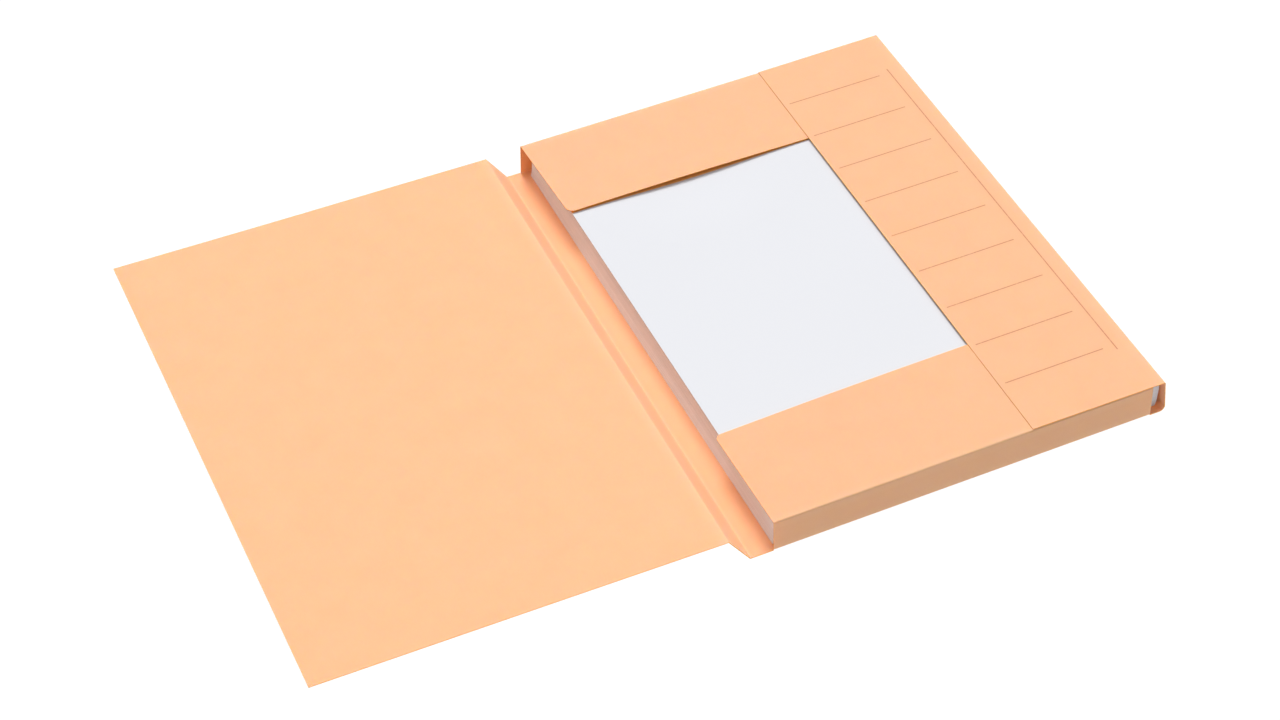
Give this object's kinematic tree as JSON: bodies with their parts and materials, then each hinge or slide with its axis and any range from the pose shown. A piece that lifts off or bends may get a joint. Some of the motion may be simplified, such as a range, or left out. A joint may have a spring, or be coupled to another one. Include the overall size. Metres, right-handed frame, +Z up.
{
  "type": "three flap folder",
  "caption": "Open card folder for A4 papers, with a spine, a cover and three flaps folded over a stack of white sheets.",
  "frame": {"origin": "centre of the base panel's underside, which lies on the table", "axes": "+Z up, +X from the cover towards the side wall, +Y along the spine's fold towards the far end wall"},
  "size_m": [0.4426, 0.305, 0.0207],
  "materials": {
    "card": "matt light orange card",
    "sheets": "matt white paper"
  },
  "bodies": {
    "base": {"folder_base": "card", "paper_stack": "sheets"},
    "spine": {"spine_strip": "card"},
    "cover": {"cover": "card"},
    "side_wall": {"side_wall": "card"},
    "side_flap": {"side_flap": "card"}
  },
  "joints": [
    {"name": "spine_fold", "type": "hinge", "parent": "base", "child": "spine", "pos_m": [-0.1123, 0, 0.0002], "axis": [0, 1, 0], "range_deg": [0, 33.5]},
    {"name": "cover_fold", "type": "hinge", "parent": "spine", "child": "cover", "pos_m": [-0.12334, 0, 0.01688], "axis": [0, 1, 0], "range_deg": [0, 145.5]},
    {"name": "side_wall_fold", "type": "hinge", "parent": "base", "child": "side_wall", "pos_m": [0.1121, 0, 0.002], "axis": [0, 1, 0], "range_deg": [0, 90]},
    {"name": "side_flap_fold", "type": "hinge", "parent": "side_wall", "child": "side_flap", "pos_m": [0.1121, 0, 0.0195], "axis": [0, 1, 0], "range_deg": [0, 90]}
  ]
}
